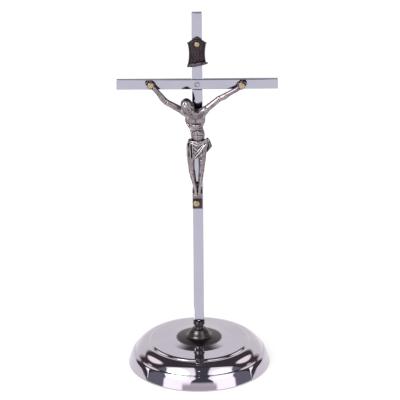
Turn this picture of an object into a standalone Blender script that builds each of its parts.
# Standing cross: a domed metal foot, a flat-bar cross, and a cast corpus and scroll pinned to it.
# Metres, +Z up, the front faces -Y, and the origin is under the middle of the foot.

import math

import bpy
import bmesh
from mathutils import Matrix, Vector

MM = 0.001

# Driving sizes of the flat-bar cross
BAR_WIDTH = 10.0 * MM
BAR_THICKNESS = 4.0 * MM
BAR_EDGE = 0.3 * MM
CROSSBAR_LENGTH = 155.0 * MM
CROSSBAR_HEIGHT = 296.0 * MM
TOP_ARM_LENGTH = 74.0 * MM

# Running gap between neighbouring pieces, and the wider gap round a shank
FIT = 0.3 * MM
HOLE_CLEARANCE = 0.25 * MM

# Foot: a spun sheet shell with a bell hub in the middle, its bands measured in from the rim
SHELL_SHEET = 1.0 * MM
RIM_RADIUS = 69.2 * MM
RIM_TUCK = 0.8 * MM
RIM_LIFT = 0.4 * MM
RIM_HEIGHT = 1.6 * MM
RIM_BAND = 6.3 * MM
STEP_HEIGHT = 14.6 * MM
SHOULDER_WIDTH = 16.3 * MM
LEDGE_WIDTH = 4.2 * MM
LEDGE_DROP = 1.7 * MM
CREST_HEIGHT = 25.2 * MM
PLATE_WIDTH = 10.6 * MM
PLATE_HEIGHT = 25.5 * MM
SKIRT_RADIUS = 30.4 * MM
SKIRT_HEIGHT = 25.8 * MM
FLARE_RADIUS = 14.6 * MM
FLARE_HEIGHT = 27.9 * MM
BELL_RADIUS = 9.7 * MM
BELL_DROP = 4.9 * MM
HUB_TOP_RADIUS = 6.4 * MM
HUB_TOP_HEIGHT = 36.5 * MM
TURNED_SIDES = 60

# Threaded tenon on the end of the upright, and what clamps it in the hub
TENON_RADIUS = 1.9 * MM
TENON_LENGTH = 17.5 * MM
COLLAR_RADIUS = 5.6 * MM
COLLAR_HEIGHT = 8.4 * MM
COLLAR_BAND = 3.8 * MM
COLLAR_TAPER = 1.6 * MM
COLLAR_WAIST_RADIUS = 3.8 * MM
WASHER_RADIUS = 4.6 * MM
WASHER_THICKNESS = 0.8 * MM
LOCK_WASHER_RADIUS = 3.6 * MM
LOCK_WASHER_THICKNESS = 0.9 * MM
LOCK_WASHER_SLIT = 0.8 * MM
NUT_ACROSS_FLATS = 7.0 * MM
NUT_THICKNESS = 3.2 * MM

# Weight and cover under the shell
COVER_THICKNESS = 2.0 * MM
BALLAST_INSET = 4.6 * MM
BALLAST_BORE = 18.0 * MM
BALLAST_THICKNESS = 9.0 * MM

# Pins and rivet
PIN_HEAD_RADIUS = 3.2 * MM
PIN_HEAD_RISE = 1.3 * MM
TITULUS_PIN_HEAD_RADIUS = 2.6 * MM
PIN_SHANK_RADIUS = 0.7 * MM
RIVET_HEAD_RADIUS = 2.9 * MM
RIVET_HEAD_RISE = 0.7 * MM
RIVET_SHANK_RADIUS = 1.4 * MM
LEFT_PIN_REACH = 44.9 * MM
RIGHT_PIN_REACH = 42.7 * MM
HAND_RISE = 0.4 * MM
FEET_DROP = 124.0 * MM
FEET_PIN_OFFSET = -1.6 * MM

# Castings
HAND_THICKNESS = 2.4 * MM
TAB_THICKNESS = 1.8 * MM
TAB_WIDTH = 9.0 * MM
TAB_OFFSET = 1.1 * MM
TAB_BELOW_PIN = 5.8 * MM
TAB_ABOVE_PIN = 16.0 * MM
LEDGE_BOTTOM_ABOVE_PIN = 6.5 * MM
LEDGE_HEIGHT = 8.0 * MM
LEDGE_DEPTH = 5.0 * MM
LEDGE_MARGIN = 0.3 * MM
SCROLL_WIDTH = 17.8 * MM
SCROLL_WAIST = 14.8 * MM
SCROLL_RISE = 20.0 * MM
SCROLL_SIDE = 24.2 * MM
SCROLL_PEAK_RISE = 5.2 * MM
SCROLL_PIN_DROP = 7.0 * MM
SCROLL_THICKNESS = 1.4 * MM
SCROLL_CURL_RADIUS = 1.5 * MM
SCROLL_CURL_TILT = 1.6 * MM
CORPUS_VOXEL = 0.8 * MM
CORPUS_SHARE_KEPT = 0.22

# The figure's joints are given in steps: its feet are this many below its hands
FIGURE_STEPS = 124

# Places that follow from the sizes above
CROSS_TOP = CROSSBAR_HEIGHT + TOP_ARM_LENGTH
RIM_FOOT_RADIUS = RIM_RADIUS - RIM_TUCK
STEP_RADIUS = RIM_RADIUS - RIM_BAND
CREST_RADIUS = STEP_RADIUS - SHOULDER_WIDTH
PLATE_RADIUS = CREST_RADIUS - PLATE_WIDTH
BALLAST_RADIUS = STEP_RADIUS - BALLAST_INSET
COVER_RADIUS = RIM_FOOT_RADIUS - SHELL_SHEET - 2 * FIT
SCROLL_BOTTOM = CROSSBAR_HEIGHT + SCROLL_RISE
SCROLL_TOP = SCROLL_BOTTOM + SCROLL_SIDE
SCROLL_PEAK = SCROLL_TOP + SCROLL_PEAK_RISE
TITULUS_PIN_HEIGHT = SCROLL_PEAK - SCROLL_PIN_DROP
FEET_PIN_HEIGHT = CROSSBAR_HEIGHT - FEET_DROP
FIGURE_STEP = FEET_DROP / FIGURE_STEPS
FRONT = -BAR_THICKNESS / 2
CASTING_BACK = FRONT - FIT
UPRIGHT_FOOT = HUB_TOP_HEIGHT + COLLAR_HEIGHT + 2 * FIT
LEFT_PIN_HEIGHT = CROSSBAR_HEIGHT + HAND_RISE
RIGHT_PIN_HEIGHT = CROSSBAR_HEIGHT - HAND_RISE
TENON_HOLE = TENON_RADIUS + HOLE_CLEARANCE
PIN_HOLE = PIN_SHANK_RADIUS + HOLE_CLEARANCE
RIVET_HOLE = RIVET_SHANK_RADIUS + HOLE_CLEARANCE

FINISHES = {
    "polished_nickel": ((0.78, 0.77, 0.80), 0.06, 1.0),
    "antique_silver": ((0.42, 0.39, 0.39), 0.38, 1.0),
    "brass": ((0.80, 0.62, 0.28), 0.22, 1.0),
    "zinc_plated_steel": ((0.62, 0.63, 0.65), 0.35, 1.0),
    "cast_iron": ((0.12, 0.12, 0.13), 0.7, 0.6),
    "felt": ((0.03, 0.09, 0.05), 0.95, 0.0),
}


def clear_scene():
    for item in list(bpy.data.objects):
        bpy.data.objects.remove(item)


def new_collection(name):
    group = bpy.data.collections.new(name)
    bpy.context.scene.collection.children.link(group)
    return group


def finish_material(name):
    found = bpy.data.materials.get(name)
    if found:
        return found
    colour, roughness, metallic = FINISHES[name]
    made = bpy.data.materials.new(name)
    made.use_nodes = True
    shader = made.node_tree.nodes["Principled BSDF"]
    shader.inputs["Base Color"].default_value = (*colour, 1.0)
    shader.inputs["Roughness"].default_value = roughness
    shader.inputs["Metallic"].default_value = metallic
    return made


def add_object(name, mesh, group, finish=None):
    made = bpy.data.objects.new(name, mesh)
    group.objects.link(made)
    if finish:
        made.data.materials.append(finish_material(finish))
    return made


def mesh_from(name, sculpt):
    shape = bmesh.new()
    sculpt(shape)
    mesh = bpy.data.meshes.new(name)
    shape.to_mesh(mesh)
    shape.free()
    return mesh


def block(name, low, high, group, finish=None):
    size = Vector(high) - Vector(low)
    centre = (Vector(high) + Vector(low)) / 2
    placed = Matrix.Translation(centre) @ Matrix.Diagonal((*size, 1.0))
    mesh = mesh_from(name, lambda shape: bmesh.ops.create_cube(shape, size=1.0, matrix=placed))
    return add_object(name, mesh, group, finish)


def rod(name, start, end, radius, group, finish=None, sides=24, end_radius=None):
    start = Vector(start)
    run = Vector(end) - start
    turn = run.to_track_quat("Z", "Y").to_matrix().to_4x4()
    placed = Matrix.Translation(start + run / 2) @ turn
    tip = radius if end_radius is None else end_radius

    def sculpt(shape):
        bmesh.ops.create_cone(
            shape, cap_ends=True, segments=sides, radius1=radius, radius2=tip,
            depth=run.length, matrix=placed)

    return add_object(name, mesh_from(name, sculpt), group, finish)


def combine(target, tool, operation):
    step = target.modifiers.new(operation.lower() + "_" + tool.name, "BOOLEAN")
    step.operation = operation
    step.solver = "EXACT"
    step.object = tool
    tool.hide_render = True
    tool.display_type = "WIRE"


def round_edges(target, width):
    step = target.modifiers.new("edges", "BEVEL")
    step.width = width
    step.segments = 2
    step.limit_method = "ANGLE"


def turned(name, profile, group, finish, closed, sides=TURNED_SIDES):
    points = [(radius, 0.0, height) for radius, height in profile]
    edges = [(i, i + 1) for i in range(len(points) - 1)]
    if closed:
        edges.append((len(points) - 1, 0))
    mesh = bpy.data.meshes.new(name)
    mesh.from_pydata(points, edges, [])
    made = add_object(name, mesh, group, finish)
    spin = made.modifiers.new("turn", "SCREW")
    spin.steps = sides
    spin.render_steps = sides
    spin.use_merge_vertices = True
    spin.merge_threshold = 0.00001
    spin.use_smooth_shade = True
    return made


def arc_between(start, control, end, steps):
    # Points of a quadratic curve after its start, up to and with its end
    out = []
    for i in range(1, steps + 1):
        t = i / steps
        radius = (1 - t) ** 2 * start[0] + 2 * t * (1 - t) * control[0] + t * t * end[0]
        height = (1 - t) ** 2 * start[1] + 2 * t * (1 - t) * control[1] + t * t * end[1]
        out.append((radius, height))
    return out


def shell_profile():
    # From the tenon's hole, out over the hub's bell, flare, skirt, plate, crest and step, down to the rim
    hub_edge = (HUB_TOP_RADIUS, HUB_TOP_HEIGHT)
    bell = (BELL_RADIUS, HUB_TOP_HEIGHT - BELL_DROP)
    flare = (FLARE_RADIUS, FLARE_HEIGHT)
    skirt = (SKIRT_RADIUS, SKIRT_HEIGHT)
    plate = (PLATE_RADIUS, PLATE_HEIGHT)
    crest = (CREST_RADIUS, CREST_HEIGHT)
    ledge = (CREST_RADIUS + LEDGE_WIDTH, CREST_HEIGHT - LEDGE_DROP)
    step_top = (STEP_RADIUS - 1.1 * MM, STEP_HEIGHT + 1.2 * MM)
    step = (STEP_RADIUS, STEP_HEIGHT)
    rim_shoulder = (STEP_RADIUS + 3.3 * MM, STEP_HEIGHT - 4.8 * MM)
    rim = (RIM_RADIUS, RIM_HEIGHT)
    rim_foot = (RIM_FOOT_RADIUS, RIM_LIFT)
    points = [(TENON_HOLE, HUB_TOP_HEIGHT), hub_edge]
    points += arc_between(hub_edge, (BELL_RADIUS - 0.75 * MM, HUB_TOP_HEIGHT - 0.43 * BELL_DROP), bell, 5)
    points += arc_between(bell, (BELL_RADIUS + 0.85 * MM, FLARE_HEIGHT + 0.55 * MM), flare, 5)
    points.append(skirt)
    points.append(plate)
    points.append(crest)
    points += arc_between(crest, (CREST_RADIUS + 0.6 * LEDGE_WIDTH, CREST_HEIGHT + 0.1 * MM), ledge, 3)
    points += arc_between(ledge, (STEP_RADIUS - 6.0 * MM, STEP_HEIGHT + 7.9 * MM), step_top, 4)
    points.append(step)
    points += arc_between(step, (STEP_RADIUS + 2.0 * MM, STEP_HEIGHT - 1.5 * MM), rim_shoulder, 3)
    points += arc_between(rim_shoulder, (RIM_RADIUS - 1.6 * MM, RIM_HEIGHT + 4.7 * MM), rim, 3)
    points.append(rim_foot)
    return points


def base_shell(group):
    shell = turned("base_shell", shell_profile(), group, "polished_nickel", closed=False)
    wall = shell.modifiers.new("sheet", "SOLIDIFY")
    wall.thickness = SHELL_SHEET
    wall.offset = -1.0
    wall.use_even_offset = True


def ring(name, inner, outer, bottom, top, group, finish, sides=TURNED_SIDES):
    profile = [(outer, top), (outer, bottom), (inner, bottom), (inner, top)]
    return turned(name, profile, group, finish, closed=True, sides=sides)


def foot_fixings(group, cutters):
    # Collar over the hub's top, then washer, split washer and nut under it, all on the tenon
    collar_bottom = HUB_TOP_HEIGHT + FIT
    collar_top = collar_bottom + COLLAR_HEIGHT
    band_bottom = collar_top - COLLAR_BAND
    collar = [(COLLAR_RADIUS, collar_top), (COLLAR_RADIUS, band_bottom),
              (COLLAR_WAIST_RADIUS, band_bottom - COLLAR_TAPER), (COLLAR_WAIST_RADIUS, collar_bottom),
              (TENON_HOLE, collar_bottom), (TENON_HOLE, collar_top)]
    turned("foot_collar", collar, group, "polished_nickel", closed=True, sides=40)
    washer_top = HUB_TOP_HEIGHT - SHELL_SHEET - FIT
    washer_bottom = washer_top - WASHER_THICKNESS
    ring("clamp_washer", TENON_HOLE, WASHER_RADIUS, washer_bottom, washer_top,
         group, "zinc_plated_steel", sides=32)
    lock_top = washer_bottom - FIT
    lock_bottom = lock_top - LOCK_WASHER_THICKNESS
    lock = ring("lock_washer", TENON_HOLE, LOCK_WASHER_RADIUS, lock_bottom, lock_top,
                group, "zinc_plated_steel", sides=32)
    slit = block("slit", (-LOCK_WASHER_SLIT / 2, 0.0, lock_bottom - FIT),
                 (LOCK_WASHER_SLIT / 2, 2 * LOCK_WASHER_RADIUS, lock_top + FIT), cutters)
    combine(lock, slit, "DIFFERENCE")
    nut_top = lock_bottom - FIT
    nut_bottom = nut_top - NUT_THICKNESS
    corner_radius = NUT_ACROSS_FLATS / math.sqrt(3)
    nut = rod("foot_nut", (0, 0, nut_bottom), (0, 0, nut_top), corner_radius,
              group, "zinc_plated_steel", sides=6)
    bore = rod("nut_bore", (0, 0, nut_bottom - FIT), (0, 0, nut_top + FIT), TENON_HOLE, cutters)
    combine(nut, bore, "DIFFERENCE")


def ballast_and_cover(group):
    rod("base_cover", (0, 0, 0), (0, 0, COVER_THICKNESS), COVER_RADIUS, group, "felt", sides=TURNED_SIDES)
    ballast_bottom = COVER_THICKNESS + FIT
    ring("ballast_ring", BALLAST_BORE, BALLAST_RADIUS, ballast_bottom, ballast_bottom + BALLAST_THICKNESS,
         group, "cast_iron")


def drill(target, name, x, z, radius, cutters):
    reach = 2 * BAR_WIDTH
    tool = rod(name, (x, -reach, z), (x, reach, z), radius, cutters, sides=20)
    combine(target, tool, "DIFFERENCE")


def upright(group, cutters):
    half = BAR_WIDTH / 2
    bar = block("upright", (-half, FRONT, UPRIGHT_FOOT), (half, -FRONT, CROSS_TOP), group, "polished_nickel")
    round_edges(bar, BAR_EDGE)
    lap = half + FIT
    notch = block("upright_lap", (-BAR_WIDTH, 2 * FRONT, CROSSBAR_HEIGHT - lap),
                  (BAR_WIDTH, FIT / 2, CROSSBAR_HEIGHT + lap), cutters)
    combine(bar, notch, "DIFFERENCE")
    tenon = rod("tenon", (0, 0, UPRIGHT_FOOT - TENON_LENGTH), (0, 0, UPRIGHT_FOOT + BAR_WIDTH),
                TENON_RADIUS, cutters)
    combine(bar, tenon, "UNION")
    drill(bar, "upright_rivet_hole", 0, CROSSBAR_HEIGHT, RIVET_HOLE, cutters)
    drill(bar, "upright_feet_hole", FEET_PIN_OFFSET, FEET_PIN_HEIGHT, PIN_HOLE, cutters)
    drill(bar, "upright_titulus_hole", 0, TITULUS_PIN_HEIGHT, PIN_HOLE, cutters)


def crossbar(group, cutters):
    half = BAR_WIDTH / 2
    reach = CROSSBAR_LENGTH / 2
    bar = block("crossbar", (-reach, FRONT, CROSSBAR_HEIGHT - half), (reach, -FRONT, CROSSBAR_HEIGHT + half),
                group, "polished_nickel")
    round_edges(bar, BAR_EDGE)
    lap = half + FIT
    notch = block("crossbar_lap", (-lap, -FIT / 2, CROSSBAR_HEIGHT - BAR_WIDTH),
                  (lap, -2 * FRONT, CROSSBAR_HEIGHT + BAR_WIDTH), cutters)
    combine(bar, notch, "DIFFERENCE")
    drill(bar, "crossbar_rivet_hole", 0, CROSSBAR_HEIGHT, RIVET_HOLE, cutters)
    drill(bar, "crossbar_left_hole", -LEFT_PIN_REACH, LEFT_PIN_HEIGHT, PIN_HOLE, cutters)
    drill(bar, "crossbar_right_hole", RIGHT_PIN_REACH, RIGHT_PIN_HEIGHT, PIN_HOLE, cutters)


def headed_pin(name, x, z, under_head, head_radius, rise, shank_radius, group, finish):
    # A low round head on a shank that ends flush with the back of the bar
    steps = 4
    length = -FRONT - under_head
    profile = []
    for i in range(steps + 1):
        angle = math.pi / 2 * i / steps
        profile.append((head_radius * math.sin(angle), rise * math.cos(angle)))
    profile += [(shank_radius, 0.0), (shank_radius, -length), (0.0, -length)]
    made = turned(name, profile, group, finish, closed=False, sides=24)
    made.rotation_euler = (math.pi / 2, 0, 0)
    made.location = (x, under_head, z)
    return made


def pins_and_rivet(group):
    on_hand = CASTING_BACK - HAND_THICKNESS - FIT
    on_tab = CASTING_BACK - TAB_THICKNESS - FIT
    on_scroll = CASTING_BACK - SCROLL_THICKNESS - FIT
    headed_pin("left_hand_pin", -LEFT_PIN_REACH, LEFT_PIN_HEIGHT, on_hand, PIN_HEAD_RADIUS,
               PIN_HEAD_RISE, PIN_SHANK_RADIUS, group, "brass")
    headed_pin("right_hand_pin", RIGHT_PIN_REACH, RIGHT_PIN_HEIGHT, on_hand, PIN_HEAD_RADIUS,
               PIN_HEAD_RISE, PIN_SHANK_RADIUS, group, "brass")
    headed_pin("feet_pin", FEET_PIN_OFFSET, FEET_PIN_HEIGHT, on_tab, PIN_HEAD_RADIUS,
               PIN_HEAD_RISE, PIN_SHANK_RADIUS, group, "brass")
    headed_pin("titulus_pin", 0, TITULUS_PIN_HEIGHT, on_scroll, TITULUS_PIN_HEAD_RADIUS,
               PIN_HEAD_RISE, PIN_SHANK_RADIUS, group, "brass")
    headed_pin("crossing_rivet", 0, CROSSBAR_HEIGHT, FRONT - FIT, RIVET_HEAD_RADIUS,
               RIVET_HEAD_RISE, RIVET_SHANK_RADIUS, group, "polished_nickel")


def titulus(group, cutters):
    # A small cast scroll: drawn-in sides, a peak over the pin, and a rolled lower edge
    half = SCROLL_WIDTH / 2
    waist = SCROLL_WAIST / 2
    middle = (SCROLL_TOP + SCROLL_BOTTOM) / 2
    bow = half - waist
    outline = []
    steps = 6
    for i in range(steps + 1):
        t = i / steps
        drawn = bow * 4 * t * (1 - t)
        outline.append((half - drawn, SCROLL_BOTTOM + t * (SCROLL_TOP - SCROLL_BOTTOM)))
    outline.append((half * 0.45, SCROLL_TOP + SCROLL_PEAK_RISE * 0.62))
    outline.append((0.0, SCROLL_PEAK))
    outline += [(-x, z) for x, z in reversed(outline[:-1])]
    path = bpy.data.curves.new("titulus_outline", "CURVE")
    path.dimensions = "2D"
    path.fill_mode = "BOTH"
    path.extrude = SCROLL_THICKNESS / 2
    line = path.splines.new("POLY")
    line.points.add(len(outline) - 1)
    for point, (x, z) in zip(line.points, outline):
        point.co = (x, z - middle, 0, 1)
    line.use_cyclic_u = True
    drawn = bpy.data.objects.new("titulus_outline", path)
    cutters.objects.link(drawn)
    drawn.rotation_euler = (math.pi / 2, 0, 0)
    drawn.location = (0, CASTING_BACK - SCROLL_THICKNESS / 2, middle)
    bpy.context.view_layer.update()
    mesh = bpy.data.meshes.new_from_object(drawn.evaluated_get(bpy.context.evaluated_depsgraph_get()))
    shape = bmesh.new()
    shape.from_mesh(mesh)
    bmesh.ops.remove_doubles(shape, verts=shape.verts, dist=0.00001)
    bmesh.ops.recalc_face_normals(shape, faces=shape.faces)
    shape.to_mesh(mesh)
    shape.free()
    scroll = add_object("titulus_scroll", mesh, group, "antique_silver")
    scroll.matrix_world = drawn.matrix_world.copy()
    bpy.data.objects.remove(drawn)
    centre = CASTING_BACK - SCROLL_CURL_RADIUS - 0.2 * MM
    curl = rod("titulus_curl", (-half + 0.8 * MM, centre, SCROLL_BOTTOM - SCROLL_CURL_TILT / 2),
               (half + 0.4 * MM, centre, SCROLL_BOTTOM + SCROLL_CURL_TILT), SCROLL_CURL_RADIUS, cutters,
               sides=12, end_radius=SCROLL_CURL_RADIUS * 0.7)
    combine(scroll, curl, "UNION")
    drill(scroll, "titulus_hole", 0, TITULUS_PIN_HEIGHT, PIN_HOLE, cutters)


def figure_point(place):
    # A joint, given in steps from the middle of the crossbar and from the casting's back
    x, y, z = place
    return Vector((x * FIGURE_STEP, CASTING_BACK + y * FIGURE_STEP, CROSSBAR_HEIGHT + z * FIGURE_STEP))


def lump(group, centre, radii):
    placed = Matrix.Translation(centre) @ Matrix.Diagonal((*radii, 1.0))
    mesh = mesh_from("lump", lambda shape: bmesh.ops.create_uvsphere(
        shape, u_segments=20, v_segments=12, radius=1.0, matrix=placed))
    return add_object("lump", mesh, group)


def blob(group, place, radii):
    lump(group, figure_point(place), Vector(radii) * FIGURE_STEP)


def span_limb(group, start, end, start_radius, end_radius):
    rod("lump", start, end, start_radius, group, end_radius=end_radius, sides=16)
    lump(group, start, (start_radius,) * 3)
    lump(group, end, (end_radius,) * 3)


def limb(group, start, end, start_radius, end_radius):
    # A tapered limb between two joints, with a ball at each
    span_limb(group, figure_point(start), figure_point(end),
              start_radius * FIGURE_STEP, end_radius * FIGURE_STEP)


def figure_arms(group):
    hand_y = CASTING_BACK - HAND_THICKNESS / 2
    left_hand = Vector((-LEFT_PIN_REACH, hand_y, LEFT_PIN_HEIGHT))
    right_hand = Vector((RIGHT_PIN_REACH, hand_y, RIGHT_PIN_HEIGHT))
    wrists = ((-41.0, -2.3, -2.8), (37.4, -2.3, -4.4))
    elbows = ((-30.0, -4.5, -15.8), (20.8, -4.5, -13.1))
    shoulders = ((-12.6, -6.5, -25.3), (6.6, -6.5, -24.1))
    palm = 3.4 * FIGURE_STEP
    wrist_radius = 1.5 * FIGURE_STEP
    for hand, wrist, elbow, shoulder in zip((left_hand, right_hand), wrists, elbows, shoulders):
        lump(group, hand, (palm, HAND_THICKNESS / 2, palm))
        fingers = hand + Vector((0, -0.2, 4.2)) * FIGURE_STEP
        lump(group, fingers, Vector((2.6, 1.4, 1.9)) * FIGURE_STEP)
        span_limb(group, figure_point(wrist), hand, wrist_radius, wrist_radius)
        limb(group, elbow, wrist, 2.2, 1.6)
        limb(group, shoulder, elbow, 3.1, 2.3)
        limb(group, (-2.2, -7.1, -28.5), shoulder, 4.2, 3.4)


def figure_trunk_and_head(group):
    blob(group, (-2.0, -7.3, -31.8), (9.0, 4.9, 8.4))
    limb(group, (-1.6, -7.1, -34.0), (0.4, -6.5, -48.5), 6.6, 5.2)
    blob(group, (0.5, -6.5, -48.0), (6.6, 4.4, 9.0))
    blob(group, (-0.2, -6.6, -60.5), (9.2, 5.8, 8.6))
    limb(group, (-3.0, -7.7, -27.5), (-8.2, -12.7, -20.0), 3.0, 2.9)
    blob(group, (-9.8, -14.5, -16.2), (6.1, 6.6, 7.3))
    limb(group, (-6.0, -12.7, -17.0), (-2.6, -11.3, -22.8), 2.8, 1.6)


def figure_legs_and_cloth(group):
    limb(group, (-5.2, -7.3, -63.5), (-5.7, -10.9, -86.0), 4.2, 2.9)
    limb(group, (4.6, -7.3, -63.5), (4.5, -10.5, -86.0), 4.2, 3.0)
    limb(group, (-5.7, -10.9, -86.0), (-1.9, -6.3, -106.5), 2.6, 1.7)
    limb(group, (4.5, -10.5, -86.0), (1.9, -5.9, -106.0), 2.6, 1.7)
    limb(group, (-1.6, -5.1, -106.0), (-1.9, -6.9, -113.6), 1.9, 1.6)
    limb(group, (1.6, -4.9, -106.0), (1.4, -6.7, -113.6), 1.9, 1.6)
    skirt_top = Vector((-0.2, -6.9, -53.5))
    skirt_bottom = Vector((-0.6, -8.3, -72.0))
    for i in range(6):
        middle = skirt_top.lerp(skirt_bottom, i / 5)
        blob(group, middle, (8.6 + 0.35 * i, 5.6 + 0.15 * i, 3.0))
    limb(group, (9.3, -6.3, -56.5), (11.2, -5.7, -67.0), 2.4, 1.6)


def figure_tab(group):
    # Ledge behind the feet, and the tab below it that takes the pin
    middle = FEET_PIN_OFFSET + TAB_OFFSET
    half = TAB_WIDTH / 2
    block("lump", (middle - half, CASTING_BACK - TAB_THICKNESS, FEET_PIN_HEIGHT - TAB_BELOW_PIN),
          (middle + half, CASTING_BACK, FEET_PIN_HEIGHT + TAB_ABOVE_PIN), group)
    ledge_bottom = FEET_PIN_HEIGHT + LEDGE_BOTTOM_ABOVE_PIN
    half -= LEDGE_MARGIN
    block("lump", (middle - half, CASTING_BACK - LEDGE_DEPTH, ledge_bottom),
          (middle + half, CASTING_BACK - LEDGE_MARGIN, ledge_bottom + LEDGE_HEIGHT), group)


def corpus(group, cutters):
    lumps = new_collection("corpus_lumps")
    figure_arms(lumps)
    figure_trunk_and_head(lumps)
    figure_legs_and_cloth(lumps)
    figure_tab(lumps)
    shape = bmesh.new()
    for item in list(lumps.objects):
        shape.from_mesh(item.data)
        bpy.data.objects.remove(item)
    mesh = bpy.data.meshes.new("corpus")
    shape.to_mesh(mesh)
    shape.free()
    bpy.data.collections.remove(lumps)
    figure = add_object("corpus", mesh, group, "antique_silver")
    fuse = figure.modifiers.new("fuse", "REMESH")
    fuse.mode = "VOXEL"
    fuse.voxel_size = CORPUS_VOXEL
    soften = figure.modifiers.new("soften", "SMOOTH")
    soften.factor = 0.5
    soften.iterations = 3
    thin = figure.modifiers.new("thin", "DECIMATE")
    thin.ratio = CORPUS_SHARE_KEPT
    far = BAR_WIDTH * 20
    back_cut = block("corpus_back_cut", (-far, CASTING_BACK, -far), (far, far, CROSS_TOP + far), cutters)
    combine(figure, back_cut, "DIFFERENCE")
    hand_bottom = -CASTING_BACK + HAND_THICKNESS + FIT
    for name, x, z, seat in (
            ("corpus_left_seat", -LEFT_PIN_REACH, LEFT_PIN_HEIGHT, CASTING_BACK - HAND_THICKNESS),
            ("corpus_right_seat", RIGHT_PIN_REACH, RIGHT_PIN_HEIGHT, CASTING_BACK - HAND_THICKNESS),
            ("corpus_feet_seat", FEET_PIN_OFFSET, FEET_PIN_HEIGHT, CASTING_BACK - TAB_THICKNESS)):
        # A flat seat for the head, and the shank's hole
        head_room = rod(name, (x, seat - 2 * hand_bottom, z), (x, seat, z), PIN_HEAD_RADIUS + FIT, cutters)
        combine(figure, head_room, "DIFFERENCE")
        drill(figure, name + "_hole", x, z, PIN_HOLE, cutters)


def build():
    clear_scene()
    parts = new_collection("standing_cross")
    cutters = new_collection("cutters")
    base_shell(parts)
    foot_fixings(parts, cutters)
    ballast_and_cover(parts)
    upright(parts, cutters)
    crossbar(parts, cutters)
    pins_and_rivet(parts)
    titulus(parts, cutters)
    corpus(parts, cutters)


build()
